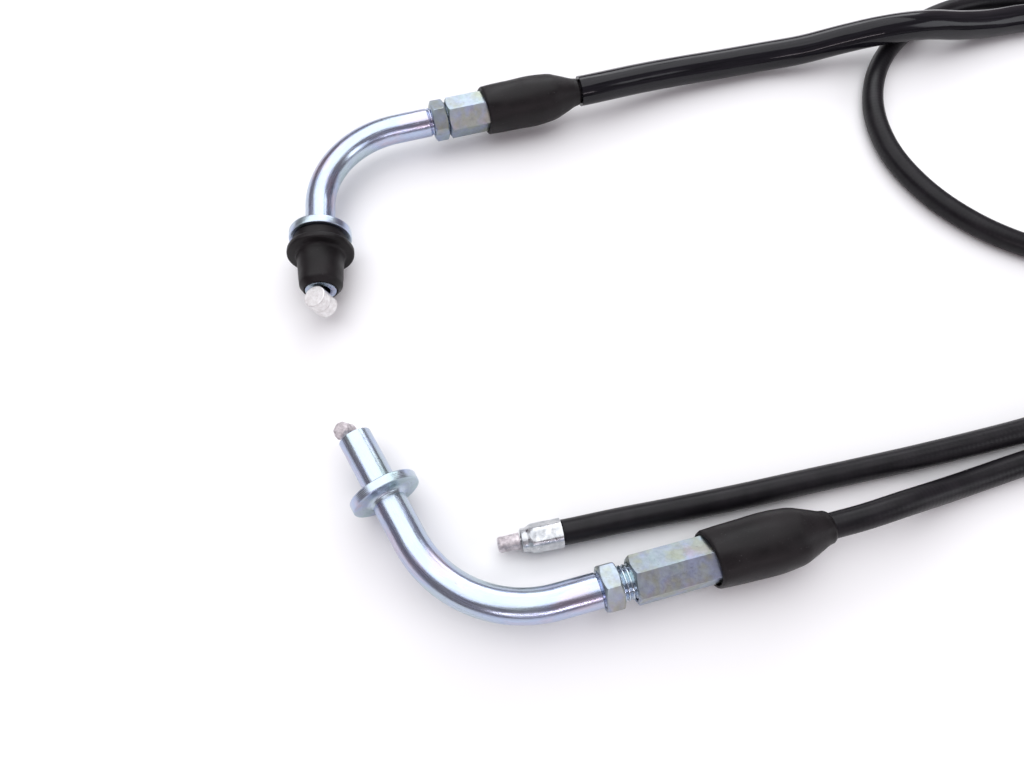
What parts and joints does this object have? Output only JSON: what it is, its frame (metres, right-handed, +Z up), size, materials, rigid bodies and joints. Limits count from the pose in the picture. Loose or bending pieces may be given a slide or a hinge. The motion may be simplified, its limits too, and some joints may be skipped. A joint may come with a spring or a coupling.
{
  "type": "throttle cable set",
  "caption": "Motorcycle throttle cable that splits from a twist-grip elbow to a carburettor elbow and an oil-pump ferrule, with screw adjusters.",
  "frame": {"origin": "centre of the fittings' footprint, on the surface that the cable lies on", "axes": "+Z up; +X along the longest side, from the free ends' nipples towards the splitter; +Y from the carburettor end towards the grip end"},
  "size_m": [0.3638, 0.2037, 0.02],
  "materials": {
    "zinc_plate": "bright blue-passivated zinc plate",
    "cast_nipple": "white die-cast zinc, slightly rough",
    "rough_nipple": "grey cast metal, rough",
    "steel_wire": "stranded steel wire",
    "crimped_aluminium": "satin, marked by the crimping tool",
    "rubber": "matt black, moulded",
    "conduit_pvc": "semi-matt black PVC",
    "sheath_pvc": "glossy black PVC tube",
    "nylon": "black nylon, fine texture",
    "acetal": "white acetal"
  },
  "bodies": {
    "conduits_and_splitter": {"grip_conduit_cap": "zinc_plate", "carb_conduit_cap": "zinc_plate", "grip_conduit": "conduit_pvc", "carb_conduit": "conduit_pvc", "pump_conduit": "conduit_pvc", "grip_sheath": "sheath_pvc", "grip_wire_in_conduit": "steel_wire", "carb_wire_in_conduit": "steel_wire", "pump_wire_in_conduit": "steel_wire", "pump_ferrule": "crimped_aluminium", "splitter_body": "nylon", "splitter_cap": "nylon", "splitter_grip_ferrule": "zinc_plate", "splitter_carb_ferrule": "zinc_plate", "splitter_pump_ferrule": "zinc_plate"},
    "grip_adjuster": {"grip_adjuster": "zinc_plate"},
    "grip_elbow": {"grip_elbow_tube": "zinc_plate", "grip_elbow_flange": "zinc_plate", "grip_grommet": "rubber", "grip_wire_in_elbow": "steel_wire"},
    "grip_lock_nut": {"grip_lock_nut": "zinc_plate"},
    "grip_boot": {"grip_boot": "rubber"},
    "grip_pull": {"grip_nipple": "cast_nipple", "grip_wire_end": "steel_wire"},
    "carb_adjuster": {"carb_adjuster": "zinc_plate"},
    "carb_elbow": {"carb_elbow_tube": "zinc_plate", "carb_elbow_flange": "zinc_plate", "carb_wire_in_elbow": "steel_wire"},
    "carb_lock_nut": {"carb_lock_nut": "zinc_plate"},
    "carb_boot": {"carb_boot": "rubber"},
    "carb_pull": {"carb_nipple": "rough_nipple", "carb_wire_end": "steel_wire"},
    "pump_pull": {"pump_nipple": "rough_nipple", "pump_wire_end": "steel_wire"},
    "splitter_grip_pull": {"splitter_grip_nipple": "cast_nipple", "splitter_grip_wire": "steel_wire"},
    "splitter_slider": {"splitter_slider": "acetal", "splitter_carb_nipple": "cast_nipple", "splitter_pump_nipple": "cast_nipple", "splitter_carb_wire": "steel_wire", "splitter_pump_wire": "steel_wire"}
  },
  "joints": [
    {"name": "grip_adjuster_turn", "type": "hinge", "parent": "conduits_and_splitter", "child": "grip_adjuster", "pos_m": [-0.1401, 0.0397, 0.0089], "axis": [-0.9636, -0.2672, 0], "range_deg": [0, 2880]},
    {"name": "grip_elbow_out", "type": "slide", "parent": "conduits_and_splitter", "child": "grip_elbow", "axis": [-0.9636, -0.2672, 0], "range_m": [0, 0.008]},
    {"name": "grip_lock_nut_turn", "type": "hinge", "parent": "grip_elbow", "child": "grip_lock_nut", "pos_m": [-0.1401, 0.0397, 0.0089], "axis": [-0.9636, -0.2672, 0], "range_deg": [0, 360]},
    {"name": "grip_boot_forward", "type": "slide", "parent": "conduits_and_splitter", "child": "grip_boot", "axis": [-0.9636, -0.2672, 0], "range_m": [0, 0.0055]},
    {"name": "grip_wire_pull", "type": "slide", "parent": "grip_elbow", "child": "grip_pull", "axis": [0.1097, -0.994, 0], "range_m": [0, 0.0125]},
    {"name": "carb_adjuster_turn", "type": "hinge", "parent": "conduits_and_splitter", "child": "carb_adjuster", "pos_m": [-0.0968, -0.0944, 0.00825], "axis": [-0.9659, -0.2588, 0], "range_deg": [0, 2880]},
    {"name": "carb_elbow_out", "type": "slide", "parent": "conduits_and_splitter", "child": "carb_elbow", "axis": [-0.9659, -0.2588, 0], "range_m": [0, 0.008]},
    {"name": "carb_lock_nut_turn", "type": "hinge", "parent": "carb_elbow", "child": "carb_lock_nut", "pos_m": [-0.0968, -0.0944, 0.00825], "axis": [-0.9659, -0.2588, 0], "range_deg": [0, 360]},
    {"name": "carb_boot_slide", "type": "slide", "parent": "conduits_and_splitter", "child": "carb_boot", "axis": [-0.9659, -0.2588, 0], "range_m": [-0.008, 0.0125]},
    {"name": "splitter_grip_wire_pull", "type": "slide", "parent": "conduits_and_splitter", "child": "splitter_grip_pull", "axis": [-0.9063, 0.4226, 0], "range_m": [0, 0.0125]},
    {"name": "splitter_slider_travel", "type": "slide", "parent": "conduits_and_splitter", "child": "splitter_slider", "axis": [0.9063, -0.4226, 0], "range_m": [0, 0.0125]},
    {"name": "carb_wire_pull", "type": "slide", "parent": "carb_elbow", "child": "carb_pull", "axis": [-0.506, 0.8625, 0], "range_m": [0, 0.0125]},
    {"name": "pump_wire_pull", "type": "slide", "parent": "conduits_and_splitter", "child": "pump_pull", "axis": [-0.9806, -0.1959, 0], "range_m": [0, 0.0125]}
  ],
  "couplings": [
    {"joint": "grip_adjuster_turn", "follows": "grip_elbow_out", "rad_per_m": 6283.2},
    {"joint": "carb_adjuster_turn", "follows": "carb_elbow_out", "rad_per_m": 6283.2},
    {"joint": "splitter_grip_wire_pull", "follows": "grip_wire_pull", "ratio": 1},
    {"joint": "carb_wire_pull", "follows": "splitter_slider_travel", "ratio": 1},
    {"joint": "pump_wire_pull", "follows": "splitter_slider_travel", "ratio": 1}
  ]
}
